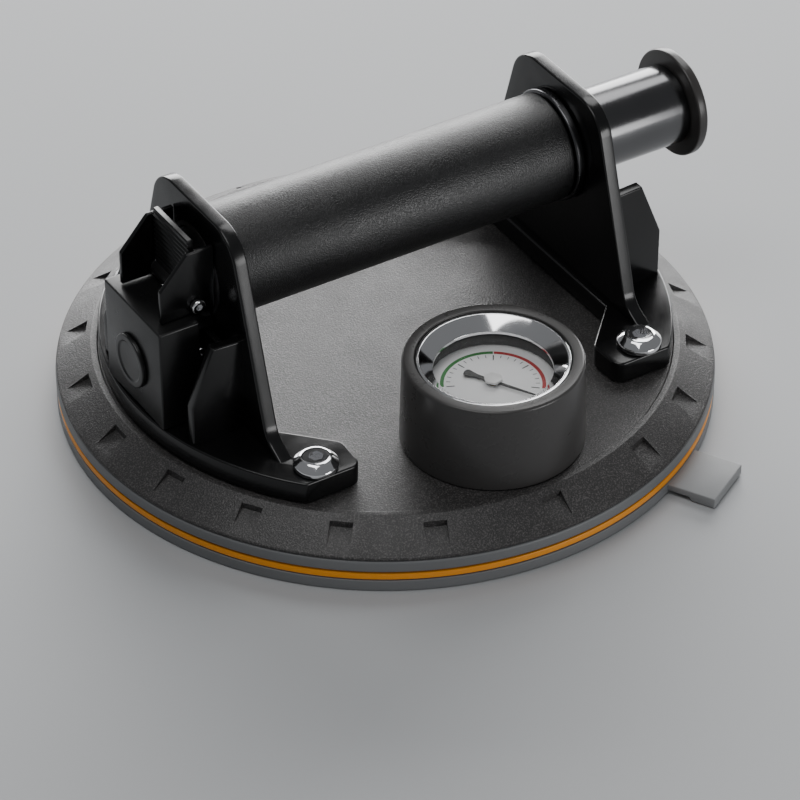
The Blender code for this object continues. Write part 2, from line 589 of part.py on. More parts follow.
def make_gauge():
    centre = upright(GAUGE.x, GAUGE.y)
    foot = PLATE_TOP + GAP
    ledge = DIAL_TOP - 0.0013
    wall = 0.0229
    floor = foot + 0.0030
    housing = [(0.0042, floor), (0.0205, floor), (0.0205, ledge), (wall, ledge), (wall, GAUGE_TOP - 0.0002)]
    housing += [(wall + 0.0002, GAUGE_TOP), (GAUGE_RADIUS - 0.0010, GAUGE_TOP), (GAUGE_RADIUS - 0.0002, GAUGE_TOP - 0.0010)]
    housing += [(GAUGE_RADIUS + 0.0005, foot), (0.0042, foot)]
    turned("gauge_housing", housing, GLOSS_BLACK, centre, ring=True)
    rim = wall - GAP
    seat = DIAL_TOP + 0.0049
    bezel = [(DIAL_VIEW, seat + 0.0008), (rim - 0.0010, GAUGE_TOP - 0.0004), (rim - 0.0003, GAUGE_TOP - 0.0004)]
    bezel += [(rim, GAUGE_TOP - 0.0007), (rim, seat), (DIAL_VIEW, seat)]
    turned("gauge_bezel", bezel, CHROME, centre, ring=True)
    lens = DIAL_TOP + 0.0038
    turned("gauge_lens", [(0.0, lens + 0.0008), (0.0210, lens + 0.0008), (0.0210, lens), (0.0, lens)], CLEAR, centre)
    low, high = DIAL_TOP + GAP, lens - GAP
    turned("gauge_gasket", tube(0.0210, 0.0187, low, high), SEAL_RUBBER, centre, ring=True)
    turned("gauge_dial", tube(0.0215, 0.0013, DIAL_TOP - 0.0010, DIAL_TOP), DIAL_WHITE, centre, ring=True)
    low, high = foot + 0.0057, DIAL_TOP - 0.0036
    capsule = [(0.0, high), (0.0060, high), (0.0130, high - 0.0026), (0.0130, low + 0.0017), (0.0060, low), (0.0, low)]
    turned("gauge_capsule", capsule, BRASS, centre, 24)
    stem = [(0.0, low - GAP), (0.0068, low - GAP), (0.0068, floor + GAP), (0.0038, floor + GAP), (0.0038, 0.0114)]
    stem += [(0.0012, 0.0114), (0.0012, low - 0.0013), (0.0, low - 0.0013)]
    turned("gauge_stem", stem, BRASS, centre, 24)
    make_needle(centre)


def make_needle(centre):
    """Pointer with a counterweight on the spindle, under a hexagonal hub cap."""
    spindle = [(0.0, DIAL_TOP + 0.0003), (0.0009, DIAL_TOP + 0.0003), (0.0009, DIAL_TOP - 0.0033), (0.0, DIAL_TOP - 0.0033)]
    turned("needle_spindle", spindle, BRASS, centre, 12)
    low, high = DIAL_TOP + 0.0006, DIAL_TOP + 0.0010
    outline = [(0.0139, 0.0), (0.0015, 0.0009), (-0.0050, 0.0009), (-0.0085, 0.0016), (-0.0095, 0.0)]
    outline += [(x, -y) for x, y in reversed(outline[1:-1])]
    extruded("gauge_needle", outline, low, high, NEEDLE_BLACK, centre @ Matrix.Rotation(NEEDLE_REST, 4, "Z"))
    cap = [(0.0, high + 0.0011), (0.0026, high + 0.0011), (0.0029, high + 0.0008), (0.0029, high + GAP), (0.0, high + GAP)]
    turned("needle_hub", cap, DIAL_WHITE, centre, 6)


make_gauge()
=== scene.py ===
"""The looks of a hand-pump vacuum suction cup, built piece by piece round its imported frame."""

import math

import bmesh
import bpy
from mathutils import Matrix, Vector


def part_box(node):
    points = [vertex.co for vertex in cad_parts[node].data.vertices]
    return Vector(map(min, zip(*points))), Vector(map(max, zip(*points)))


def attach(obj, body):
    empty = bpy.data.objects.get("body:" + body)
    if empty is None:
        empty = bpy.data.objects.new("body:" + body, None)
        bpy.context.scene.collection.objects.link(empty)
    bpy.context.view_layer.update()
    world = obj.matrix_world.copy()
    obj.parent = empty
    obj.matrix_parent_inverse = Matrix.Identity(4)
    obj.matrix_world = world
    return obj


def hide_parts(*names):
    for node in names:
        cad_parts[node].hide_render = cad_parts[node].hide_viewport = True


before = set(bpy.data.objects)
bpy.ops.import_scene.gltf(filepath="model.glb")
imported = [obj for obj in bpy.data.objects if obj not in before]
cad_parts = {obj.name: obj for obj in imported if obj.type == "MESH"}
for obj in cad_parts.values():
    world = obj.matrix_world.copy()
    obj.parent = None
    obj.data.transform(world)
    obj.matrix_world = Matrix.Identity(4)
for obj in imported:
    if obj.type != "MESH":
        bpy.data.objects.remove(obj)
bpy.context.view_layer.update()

# The room: a plain pale floor under soft studio light. A wide low soft box stands behind the tool, a small
# one hangs at the right, one hangs overhead, and a low one stands in front on the right. The camera looks
# down from the gauge side.

AZIMUTH, ELEVATION = math.radians(-31.65), math.radians(37.42)
DISTANCE = 1.2129
RIM_HEIGHT = 0.0053
AIM_RIGHT, AIM_DOWN = 0.004446, 0.010288
toward_camera = Vector((math.sin(AZIMUTH) * math.cos(ELEVATION), -math.cos(AZIMUTH) * math.cos(ELEVATION),
                        math.sin(ELEVATION)))
camera_right = Vector((math.cos(AZIMUTH), math.sin(AZIMUTH), 0.0))
camera_up = toward_camera.cross(camera_right)
aim = Vector((0.0, 0.0, RIM_HEIGHT)) + camera_right * AIM_RIGHT - camera_up * AIM_DOWN

camera = bpy.data.objects.new("studio_camera", bpy.data.cameras.new("studio_camera"))
bpy.context.scene.collection.objects.link(camera)
camera.data.lens = 179.23
camera.data.sensor_width = 36.0
camera.location = aim + toward_camera * DISTANCE
camera.rotation_euler = toward_camera.to_track_quat("Z", "Y").to_euler()
bpy.context.scene.camera = camera


def soft_box(name, place, width, height, power):
    """A rectangular area light that faces the middle of the grip."""
    light = bpy.data.objects.new(name, bpy.data.lights.new(name, "AREA"))
    light.data.energy = power
    light.data.shape = "RECTANGLE"
    light.data.size = width
    light.data.size_y = height
    light.location = place
    light.rotation_euler = (Vector(place) - Vector((0.0, 0.0, 0.05))).to_track_quat("Z", "Y").to_euler()
    bpy.context.scene.collection.objects.link(light)


soft_box("back_soft_box", (1.00, 1.62, 0.55), 2.6, 1.0, 85.0)
soft_box("key_soft_box", (0.75, 0.55, 1.25), 0.7, 0.7, 6.0)
soft_box("top_soft_box", (-0.35, -0.15, 1.35), 1.0, 0.6, 6.0)
soft_box("front_soft_box", (0.62, -1.33, 0.24), 0.7, 0.44, 6.0)

world = bpy.data.worlds.new("studio")
bpy.context.scene.world = world
world.use_nodes = True
world.node_tree.nodes["Background"].inputs["Color"].default_value = (0.80, 0.82, 0.85, 1.0)
world.node_tree.nodes["Background"].inputs["Strength"].default_value = 0.20

floor_mesh = bpy.data.meshes.new("studio_floor")
floor_shape = bmesh.new()
bmesh.ops.create_grid(floor_shape, x_segments=1, y_segments=1, size=4.0)
floor_shape.to_mesh(floor_mesh)
floor_shape.free()
floor = bpy.data.objects.new("studio_floor", floor_mesh)
bpy.context.scene.collection.objects.link(floor)
floor.location.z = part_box("rubber_pad")[0].z
floor_finish = bpy.data.materials.new("pale_floor")
floor_finish.use_nodes = True
floor_finish.node_tree.nodes["Principled BSDF"].inputs["Base Color"].default_value = (0.44, 0.45, 0.46, 1.0)
floor_finish.node_tree.nodes["Principled BSDF"].inputs["Roughness"].default_value = 0.55
floor_mesh.materials.append(floor_finish)

# The suction pad: a moulded disc of mid-grey rubber with a sealing land round its foot, a groove for the
# orange ring in its wall, and two shallow ribs and a middle land underneath.

PAD_LOW, PAD_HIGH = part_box("rubber_pad")
PAD_RADIUS = -PAD_LOW.x
ROUND = 192                     # facets round the large turned pieces


def rounded(corners, facets=5):
    """Points of an outline of (x, y, radius) corners, with an arc at each corner that has a radius."""
    points = []
    for index, (x, y, radius) in enumerate(corners):
        here = Vector((x, y))
        if radius == 0:
            points.append(here)
            continue
        back = (Vector(corners[index - 1][:2]) - here).normalized()
        ahead = (Vector(corners[(index + 1) % len(corners)][:2]) - here).normalized()
        half = back.angle(ahead) / 2
        centre = here + (back + ahead).normalized() * (radius / math.sin(half))
        start = here + back * (radius / math.tan(half)) - centre
        turn = start.angle_signed(here + ahead * (radius / math.tan(half)) - centre)
        for step in range(facets + 1):
            points.append(centre + start @ Matrix.Rotation(turn * step / facets, 2))
    return points


def keep_mesh(name, shape, matrix=None):
    """Closes a bmesh into a mesh object: welded, faces outward, smooth except at corners over 35 degrees."""
    bmesh.ops.remove_doubles(shape, verts=shape.verts, dist=0.000002)
    bmesh.ops.recalc_face_normals(shape, faces=shape.faces)
    mesh = bpy.data.meshes.new(name)
    shape.to_mesh(mesh)
    shape.free()
    mesh.transform(matrix or Matrix())
    mesh.shade_smooth()
    mesh.set_sharp_from_angle(angle=math.radians(35))
    made = bpy.data.objects.new(name, mesh)
    bpy.context.scene.collection.objects.link(made)
    return made


def turned(name, corners, matrix=None, steps=ROUND, ring=False):
    """Turns an outline of (radius, height, corner radius) points about its own Z axis."""
    shape = bmesh.new()
    points = [shape.verts.new((max(x, 0.0), 0.0, y)) for x, y in rounded(corners)]
    if ring:
        points.append(points[0])
    edges = [shape.edges.new(pair) for pair in zip(points, points[1:])]
    bmesh.ops.spin(shape, geom=shape.verts[:] + edges, cent=(0, 0, 0), axis=(0, 0, 1), angle=2 * math.pi,
                   steps=steps, use_merge=True)
    bmesh.ops.dissolve_degenerate(shape, edges=shape.edges, dist=0.000001)
    return keep_mesh(name, shape, matrix)


def settle(piece, finish, body, node=None):
    """Gives a piece its finish, hangs it on its body and lets it stand for its node."""
    piece.data.materials.clear()
    piece.data.materials.append(finish)
    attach(piece, body)
    if node:
        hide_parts(node)
    return piece


def new_group(name, inputs, outputs):
    """A shader node group with number inputs and the outputs given as (name, socket type)."""
    group = bpy.data.node_groups.new(name, "ShaderNodeTree")
    for label, value in inputs:
        socket = group.interface.new_socket(label, in_out="INPUT", socket_type="NodeSocketFloat")
        socket.default_value = value
    for label, kind in outputs:
        group.interface.new_socket(label, in_out="OUTPUT", socket_type=kind)
    return group, group.nodes.new("NodeGroupInput"), group.nodes.new("NodeGroupOutput")


def noise(tree, vector, scale, detail):
    """A noise texture read at a vector. Its scale is a number, or another node's output."""
    node = tree.nodes.new("ShaderNodeTexNoise")
    if isinstance(scale, bpy.types.NodeSocket):
        tree.links.new(scale, node.inputs["Scale"])
    else:
        node.inputs["Scale"].default_value = scale
    node.inputs["Detail"].default_value = detail
    tree.links.new(vector, node.inputs["Vector"])
    return node


def build_handling():
    """Faint smears and dust: slow patches for the colour and finer ones for the roughness."""
    group, given, gives = new_group(
        "handling_marks", [("Patch Size", 18.0), ("Low", 0.3), ("High", 0.5)],
        [("Tint", "NodeSocketFloat"), ("Roughness", "NodeSocketFloat")])
    place = group.nodes.new("ShaderNodeTexCoord")
    patches = noise(group, place.outputs["Object"], given.outputs["Patch Size"], 4.0)
    group.links.new(patches.outputs["Fac"], gives.inputs["Tint"])
    smear = noise(group, place.outputs["Object"], 140.0, 5.0)
    mixed = group.nodes.new("ShaderNodeMath")
    mixed.operation = "MULTIPLY"
    group.links.new(patches.outputs["Fac"], mixed.inputs[0])
    group.links.new(smear.outputs["Fac"], mixed.inputs[1])
    spread = group.nodes.new("ShaderNodeMapRange")
    spread.inputs["From Min"].default_value = 0.12
    spread.inputs["From Max"].default_value = 0.40
    group.links.new(mixed.outputs[0], spread.inputs["Value"])
    group.links.new(given.outputs["Low"], spread.inputs["To Min"])
    group.links.new(given.outputs["High"], spread.inputs["To Max"])
    group.links.new(spread.outputs["Result"], gives.inputs["Roughness"])
    return group


handling_marks = build_handling()


def plain_finish(name, dark, light, low, high, metallic=0.0, patch=18.0, specular=0.5):
    """A smooth finish: a colour between dark and light in slow patches, and a roughness from low to high."""
    finish = bpy.data.materials.new(name)
    finish.use_nodes = True
    tree = finish.node_tree
    shader = tree.nodes["Principled BSDF"]
    shader.inputs["Metallic"].default_value = metallic
    shader.inputs["Specular IOR Level"].default_value = specular
    marks = tree.nodes.new("ShaderNodeGroup")
    marks.node_tree = handling_marks
    marks.inputs["Patch Size"].default_value = patch
    marks.inputs["Low"].default_value = low
    marks.inputs["High"].default_value = high
    tint = tree.nodes.new("ShaderNodeMix")
    tint.data_type = "RGBA"
    tint.inputs["A"].default_value = (*dark, 1.0)
    tint.inputs["B"].default_value = (*light, 1.0)
    tree.links.new(marks.outputs["Tint"], tint.inputs["Factor"])
    tree.links.new(tint.outputs["Result"], shader.inputs["Base Color"])
    tree.links.new(marks.outputs["Roughness"], shader.inputs["Roughness"])
    return finish


def fine_bump(finish, scale, distance):
    """Adds a fine moulded or sprayed surface to a finish, as small hills of the given size and depth."""
    tree = finish.node_tree
    place = tree.nodes.new("ShaderNodeTexCoord")
    hills = noise(tree, place.outputs["Object"], scale, 2.0)
    bump = tree.nodes.new("ShaderNodeBump")
    bump.inputs["Distance"].default_value = distance
    tree.links.new(hills.outputs["Fac"], bump.inputs["Height"])
    tree.links.new(bump.outputs["Normal"], tree.nodes["Principled BSDF"].inputs["Normal"])


RUBBER_PORES = 2600.0
GROOVE_DEPTH = 0.0014
grey_rubber = plain_finish("grey_rubber", (0.14, 0.145, 0.15), (0.19, 0.195, 0.20), 0.40, 0.55)
fine_bump(grey_rubber, RUBBER_PORES, 0.00003)

ring_low, ring_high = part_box("seal_ring")
groove = PAD_RADIUS - GROOVE_DEPTH
groove_low, groove_high = ring_low.z - 0.00025, ring_high.z + 0.0008
chamber = 0.0032                # height of the hollow between the lands
LAND_INNER, MIDDLE_LAND, RIB_HALF = 0.0932, 0.0092, 0.0018
pad_outline = [(0.0, PAD_HIGH.z, 0.0), (PAD_RADIUS, PAD_HIGH.z, 0.0007), (PAD_RADIUS, groove_high, 0.0003),
               (groove, groove_high, 0.0), (groove, groove_low, 0.0), (PAD_RADIUS, groove_low, 0.0003),
               (PAD_RADIUS, 0.0, 0.0008), (LAND_INNER, 0.0, 0.0003), (LAND_INNER - 0.0012, chamber, 0.0005)]
for rib in (0.060, 0.033):
    pad_outline += [(rib + RIB_HALF, chamber, 0.0), (rib, 0.0010, 0.0005), (rib - RIB_HALF, chamber, 0.0)]
pad_outline += [(MIDDLE_LAND + 0.0008, chamber, 0.0), (MIDDLE_LAND, 0.0, 0.0003), (0.0, 0.0, 0.0)]
settle(turned("suction_pad", pad_outline), grey_rubber, "base", "rubber_pad")

# The pull tab: part of the pad's moulding at the gauge side. Its root is thin, and a thicker pad under the
# tip gives the finger a hold to peel the rim up.

TAB_TURN = math.radians(-60)
TAB_HALF = 0.0095
TAB_TOP = groove_low - 0.0002
TAB_REACH = 0.1148
TAB_ROOT = 0.0975
FOOT_START = 0.1065             # where the thicker part under the tip begins


def prism(outline, low, high):
    """A bmesh of a flat outline made solid between two heights."""
    shape = bmesh.new()
    face = shape.faces.new([shape.verts.new((x, y, low)) for x, y in outline])
    raised = bmesh.ops.extrude_face_region(shape, geom=[face])
    top = [item for item in raised["geom"] if isinstance(item, bmesh.types.BMVert)]
    bmesh.ops.translate(shape, verts=top, vec=(0.0, 0.0, high - low))
    bmesh.ops.recalc_face_normals(shape, faces=shape.faces)
    return shape


def soften(shape, width, segments=3, over=40):
    """Rounds the edges of a bmesh whose corner is sharper than an angle."""
    sharp = [edge for edge in shape.edges
             if edge.is_manifold and edge.calc_face_angle() > math.radians(over)]
    bmesh.ops.bevel(shape, geom=sharp, offset=width, segments=segments, profile=0.5, affect="EDGES",
                    clamp_overlap=True)
    return shape


tab_side = [(TAB_ROOT, TAB_TOP), (TAB_ROOT, 0.0015), (FOOT_START, 0.0015), (FOOT_START + 0.0006, 0.0003),
            (TAB_REACH, 0.0003), (TAB_REACH, TAB_TOP)]
tab_stand = Matrix.Rotation(TAB_TURN, 4, "Z") @ Matrix.Rotation(math.radians(90), 4, "X")
tab = keep_mesh("pull_tab", soften(prism(tab_side, -TAB_HALF, TAB_HALF), 0.00035), tab_stand)
# The tab is the same grey rubber as the pad, but its colour is painted lighter: painted light for the light
# falling on its faces.
tab_rubber_painted_light = plain_finish("tab_rubber_painted_light", (0.22, 0.225, 0.23), (0.28, 0.285, 0.29), 0.5, 0.62)
fine_bump(tab_rubber_painted_light, RUBBER_PORES, 0.00002)
settle(tab, tab_rubber_painted_light, "base")

# The seal ring: a thin band of orange rubber let into the pad's wall, with an open gap above it. It shows
# the user that the pad still lies flat.

ring_reach = ring_high.x
ring_bore = groove + 0.0003
ring_outline = [(ring_bore, ring_high.z, 0.0), (ring_reach, ring_high.z, 0.0004),
                (ring_reach, ring_low.z, 0.0004), (ring_bore, ring_low.z, 0.0)]
orange_rubber = plain_finish("orange_rubber", (0.86, 0.29, 0.010), (0.94, 0.36, 0.014), 0.32, 0.45)
settle(turned("orange_ring", ring_outline, ring=True), orange_rubber, "base", "seal_ring")

# The base plate: a stiff pressing, powder coated in fine sand-textured black. Its middle is sunk a
# little below a lip, and twenty shallow windows are pressed into the slope outside it.

PLATE_LOW, PLATE_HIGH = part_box("base_plate")
PLATE_EDGE = PLATE_HIGH.x
LIP_TOP = PLATE_HIGH.z
PLATE_TOP = LIP_TOP - 0.0005
LIP_INNER, LIP_OUTER = 0.0872, 0.0889
EDGE_TOP = PLATE_LOW.z + 0.0008
WINDOW_INNER, WINDOW_OUTER, WINDOW_WIDTH, WINDOW_DEPTH = 0.0908, 0.0975, 0.0068, 0.0020
OVER_PLATE = 0.022              # height that the window cutters reach


def merged(base, others, operation):
    """Joins helpers to a piece, or cuts it with them, keeps the result and removes the helpers."""
    for other in others:
        step = base.modifiers.new(other.name, "BOOLEAN")
        step.operation = operation
        step.object = other
    bpy.context.view_layer.update()
    graph = bpy.context.evaluated_depsgraph_get()
    result = bpy.data.meshes.new_from_object(base.evaluated_get(graph))
    base.modifiers.clear()
    base.data = result
    for other in others:
        bpy.data.objects.remove(other)
    return base


def crease_over(piece, degrees):
    """Shades a piece smooth except at corners over the angle."""
    piece.data.shade_smooth()
    piece.data.set_sharp_from_angle(angle=math.radians(degrees))
    return piece


def round_cutter(radius, low, high, matrix, steps=48):
    """A round bar along its own Z from low to high."""
    outline = [(0.0, high, 0.0), (radius, high, 0.0), (radius, low, 0.0), (0.0, low, 0.0)]
    return turned("cutter", outline, matrix, steps)


def make_plate():
    """The disc with its lip, cut by twenty windows. The first gap beside each end of Y is a wider one."""
    outline = [(0.0, PLATE_TOP, 0.0), (LIP_INNER - 0.0004, PLATE_TOP, 0.0), (LIP_INNER, LIP_TOP, 0.0003),
               (LIP_OUTER, LIP_TOP - 0.0001, 0.0012), (PLATE_EDGE - 0.0003, EDGE_TOP, 0.0003),
               (PLATE_EDGE, EDGE_TOP - 0.0003, 0.0), (PLATE_EDGE, PLATE_LOW.z, 0.0), (0.0, PLATE_LOW.z, 0.0)]
    plate = turned("base_disc", outline, steps=240)
    slope = (LIP_TOP - 0.0001 - EDGE_TOP) / (PLATE_EDGE - 0.0003 - LIP_OUTER)
    floor_in = LIP_TOP - 0.0001 - (WINDOW_INNER - LIP_OUTER) * slope - WINDOW_DEPTH
    floor_out = LIP_TOP - 0.0001 - (WINDOW_OUTER - LIP_OUTER) * slope
    wedge = [(WINDOW_INNER, floor_in), (WINDOW_OUTER, floor_out), (WINDOW_OUTER, OVER_PLATE),
             (WINDOW_INNER, OVER_PLATE)]
    quarter = [22.5 + 16.875 * step for step in range(4)]
    offsets = [0.0] + quarter + [90.0] + [180.0 - angle for angle in reversed(quarter)]
    windows = []
    for angle in [offset + half for half in (-90.0, 90.0) for offset in offsets]:
        stand = Matrix.Rotation(math.radians(angle), 4, "Z") @ Matrix.Rotation(math.radians(90), 4, "X")
        windows.append(keep_mesh("window", prism(wedge, -WINDOW_WIDTH / 2, WINDOW_WIDTH / 2), stand))
    return crease_over(merged(plate, windows, "DIFFERENCE"), 30)


def build_sand():
    """Sand texture: hard little grains over softer hills, as a height, and as bright specks."""
    group, given, gives = new_group(
        "sand_texture", [("Grain Size", 2200.0)],
        [("Height", "NodeSocketFloat"), ("Speck", "NodeSocketFloat")])
    place = group.nodes.new("ShaderNodeTexCoord")
    grains = noise(group, place.outputs["Object"], given.outputs["Grain Size"], 3.0)
    specks = group.nodes.new("ShaderNodeMapRange")
    specks.inputs["From Min"].default_value = 0.48
    specks.inputs["From Max"].default_value = 0.75
    group.links.new(grains.outputs["Fac"], specks.inputs["Value"])
    hills = noise(group, place.outputs["Object"], 1300.0, 2.0)
    height = group.nodes.new("ShaderNodeMath")
    height.operation = "MULTIPLY_ADD"
    height.inputs[1].default_value = 0.5
    group.links.new(hills.outputs["Fac"], height.inputs[0])
    group.links.new(grains.outputs["Fac"], height.inputs[2])
    group.links.new(height.outputs[0], gives.inputs["Height"])
    group.links.new(specks.outputs["Result"], gives.inputs["Speck"])
    return group


sand_texture = build_sand()


def sand_finish(name, dark, light, low, high, depth):
    """A sprayed sand finish: specks of the lighter colour, and a height that catches the light."""
    finish = bpy.data.materials.new(name)
    finish.use_nodes = True
    tree = finish.node_tree
    shader = tree.nodes["Principled BSDF"]
    sand = tree.nodes.new("ShaderNodeGroup")
    sand.node_tree = sand_texture
    marks = tree.nodes.new("ShaderNodeGroup")
    marks.node_tree = handling_marks
    marks.inputs["Low"].default_value = low
    marks.inputs["High"].default_value = high
    tint = tree.nodes.new("ShaderNodeMix")
    tint.data_type = "RGBA"
    tint.inputs["A"].default_value = (*dark, 1.0)
    tint.inputs["B"].default_value = (*light, 1.0)
    tree.links.new(sand.outputs["Speck"], tint.inputs["Factor"])
    tree.links.new(tint.outputs["Result"], shader.inputs["Base Color"])
    tree.links.new(marks.outputs["Roughness"], shader.inputs["Roughness"])
    bump = tree.nodes.new("ShaderNodeBump")
    bump.inputs["Distance"].default_value = depth
    tree.links.new(sand.outputs["Height"], bump.inputs["Height"])
    tree.links.new(bump.outputs["Normal"], shader.inputs["Normal"])
    return finish


plate_coat = sand_finish("sand_black_coat", (0.026, 0.025, 0.025), (0.120, 0.113, 0.111), 0.36, 0.50,
                         0.00012)
settle(make_plate(), plate_coat, "base", "base_plate")

# The two brackets: one casting each, with a foot flange, an upright that carries the grip and two gussets
# outside it, all in gloss black. Their edges are lightly rounded.

FLANGE_RADIUS, FLANGE_FRONT, TOE = 0.0866, 0.0595, 0.0436
UPRIGHT_INNER, UPRIGHT_OUTER = 0.0600, 0.0644
GUSSET_FACE, GUSSET_WALL, GUSSET_REACH = 0.0270, 0.0034, 0.0812
FLANGE_TOP = 0.0259
GRIP_HEIGHT = (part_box("grip_sleeve")[0].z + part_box("grip_sleeve")[1].z) / 2
SCREW_X, SCREW_Y = 0.0560, 0.0535
BARREL_BORE = 0.0147            # hole for the pump barrel in each upright, collar and the grip
lean = Matrix.Rotation(math.radians(90), 4, "X")        # stands an (x, height) outline up along Y
face_x = Matrix(((0, 0, -1, 0), (0, 1, 0, 0), (1, 0, 0, 0), (0, 0, 0, 1)))    # turns (height, y) across X


def flange_outline(side):
    """Half an annulus, cut straight across its feet, with a toe turned inwards at each end."""
    end = math.asin(FLANGE_FRONT / FLANGE_RADIUS) - 0.03
    sweep = [end * (2 * step / 48 - 1) for step in range(49)]
    outer = [(FLANGE_RADIUS * math.cos(angle), FLANGE_RADIUS * math.sin(angle)) for angle in sweep]
    corner = math.sqrt(FLANGE_RADIUS ** 2 - FLANGE_FRONT ** 2)
    upper = [(corner, FLANGE_FRONT, 0.0020), (TOE + 0.0006, FLANGE_FRONT, 0.0035), (TOE, 0.0474, 0.0040),
             (0.0580, 0.0325, 0.0)]
    feet = upper + [(x, -y, radius) for x, y, radius in reversed(upper)]
    corners = [(*outer[-1], 0.0)] + feet + [(*outer[0], 0.0)]
    points = outer + [tuple(point) for point in rounded(corners, 8)[1:-1]]
    return [(side * x, y) for x, y in points]


def make_bracket(name, node, side, gusset_top):
    """Foot flange, upright and two gussets as one casting; side is -1 on the left and 1 on the right."""
    low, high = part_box(node)
    base = keep_mesh(name, soften(prism(flange_outline(side), low.z, FLANGE_TOP), 0.0007, 4, 50))
    half = [(FLANGE_TOP - 0.001, 0.0490, 0.0), (FLANGE_TOP + 0.0002, 0.0470, 0.0),
            (FLANGE_TOP + 0.0040, 0.0394, 0.0080), (high.z, 0.0213, 0.0120)]
    tall = rounded(half + [(height, -y, radius) for height, y, radius in reversed(half)], 14)
    ends = sorted((-side * UPRIGHT_INNER, -side * UPRIGHT_OUTER))
    pieces = [keep_mesh("upright", soften(prism(tall, *ends), 0.0007, 4), face_x)]
    inside = UPRIGHT_OUTER - 0.001
    web = [(inside, FLANGE_TOP - 0.001), (GUSSET_REACH, FLANGE_TOP - 0.001),
           (GUSSET_REACH, gusset_top - 0.0185), (0.0738, gusset_top), (inside, gusset_top - 0.0006)]
    for face in (GUSSET_FACE, GUSSET_WALL - GUSSET_FACE):
        shape = soften(prism([(side * x, z) for x, z in web], face - GUSSET_WALL, face), 0.0005, 3)
        pieces.append(keep_mesh("gusset", shape, lean))
    merged(base, pieces, "UNION")
    axis = Matrix.Translation((0.0, 0.0, GRIP_HEIGHT)) @ Matrix.Rotation(math.radians(90), 4, "Y")
    reach = sorted((side * 0.055, side * 0.070))
    holes = [round_cutter(BARREL_BORE, *reach, axis)]
    for y in (-SCREW_Y, SCREW_Y):
        holes.append(round_cutter(0.0034, 0.017, 0.028, Matrix.Translation((side * SCREW_X, y, 0.0)), 24))
    return crease_over(merged(base, holes, "DIFFERENCE"), 32)


gloss_black = plain_finish("gloss_black_paint", (0.003, 0.003, 0.0032), (0.005, 0.005, 0.0053), 0.16, 0.26,
                           patch=30.0)
settle(make_bracket("bracket_left", "left_bracket", -1, 0.0574), gloss_black, "base", "left_bracket")
settle(make_bracket("bracket_right", "right_bracket", 1, 0.0606), gloss_black, "base", "right_bracket")

# The four flange screws: chrome-plated pan heads with a hexagon socket, one in each foot.

chrome = plain_finish("bright_chrome", (0.88, 0.88, 0.89), (0.96, 0.96, 0.97), 0.05, 0.12, metallic=1.0,
                      patch=60.0)


def hexagon(radius, turn=0.0):
    """The six corners of a hexagon of the given corner radius."""
    angles = [turn + math.pi / 3 * step for step in range(6)]
    return [(radius * math.cos(angle), radius * math.sin(angle)) for angle in angles]


HEAD_RADIUS, HEAD_HEIGHT = 0.0067, 0.0035
SHANK_RADIUS, SHANK_END = 0.0030, 0.0121


def make_flange_screw(name, x, y, turn):
    """A pan head on the flange with its shank down into the plate, and a socket at the given turn."""
    seat = FLANGE_TOP + 0.0003
    outline = [(0.0, seat + HEAD_HEIGHT, 0.0), (0.0044, seat + HEAD_HEIGHT, 0.0020),
               (HEAD_RADIUS, seat + 0.0014, 0.0010), (HEAD_RADIUS, seat, 0.0002), (SHANK_RADIUS, seat, 0.0),
               (SHANK_RADIUS, SHANK_END, 0.0004), (0.0, SHANK_END, 0.0)]
    stand = Matrix.Translation((x, y, 0.0))
    screw = turned(name, outline, stand, 64)
    socket = keep_mesh("socket", prism(hexagon(0.0023, turn), seat + 0.0012, seat + 0.005), stand)
    return crease_over(merged(screw, [socket], "DIFFERENCE"), 30)


for side_name, x in (("left", -SCREW_X), ("right", SCREW_X)):
    for end_name, y in (("front", -SCREW_Y), ("rear", SCREW_Y)):
        screw = make_flange_screw(f"screw_{side_name}_{end_name}", x, y, x * 13 + y * 29)
        settle(screw, chrome, "base", f"flange_screw_{side_name}_{end_name}")

# The grip: a thick rubber sleeve with a fine leather-like grain, pushed over the pump barrel. A thin
# satin metal collar closes each end against its bracket.

PUMP_AXIS = Matrix.Translation((0.0, 0.0, GRIP_HEIGHT)) @ Matrix.Rotation(math.radians(90), 4, "Y")
grip_low, grip_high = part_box("grip_sleeve")


def build_grain():
    """Leather-like grain: small rounded cells with creases between, over a slower unevenness."""
    group, given, gives = new_group(
        "leather_grain", [("Cell Size", 2600.0)], [("Height", "NodeSocketFloat")])
    place = group.nodes.new("ShaderNodeTexCoord")
    warp = noise(group, place.outputs["Object"], 1000.0, 2.0)
    shift = group.nodes.new("ShaderNodeVectorMath")
    shift.operation = "MULTIPLY_ADD"
    shift.inputs[1].default_value = (0.0006, 0.0006, 0.0006)
    group.links.new(warp.outputs["Color"], shift.inputs[0])
    group.links.new(place.outputs["Object"], shift.inputs[2])
    cells = group.nodes.new("ShaderNodeTexVoronoi")
    cells.feature = "SMOOTH_F1"
    cells.inputs["Smoothness"].default_value = 0.4
    group.links.new(shift.outputs["Vector"], cells.inputs["Vector"])
    group.links.new(given.outputs["Cell Size"], cells.inputs["Scale"])
    raised = group.nodes.new("ShaderNodeMapRange")
    raised.inputs["From Min"].default_value = 0.75
    raised.inputs["From Max"].default_value = 0.1
    group.links.new(cells.outputs["Distance"], raised.inputs["Value"])
    group.links.new(raised.outputs["Result"], gives.inputs["Height"])
    return group


leather_grain = build_grain()


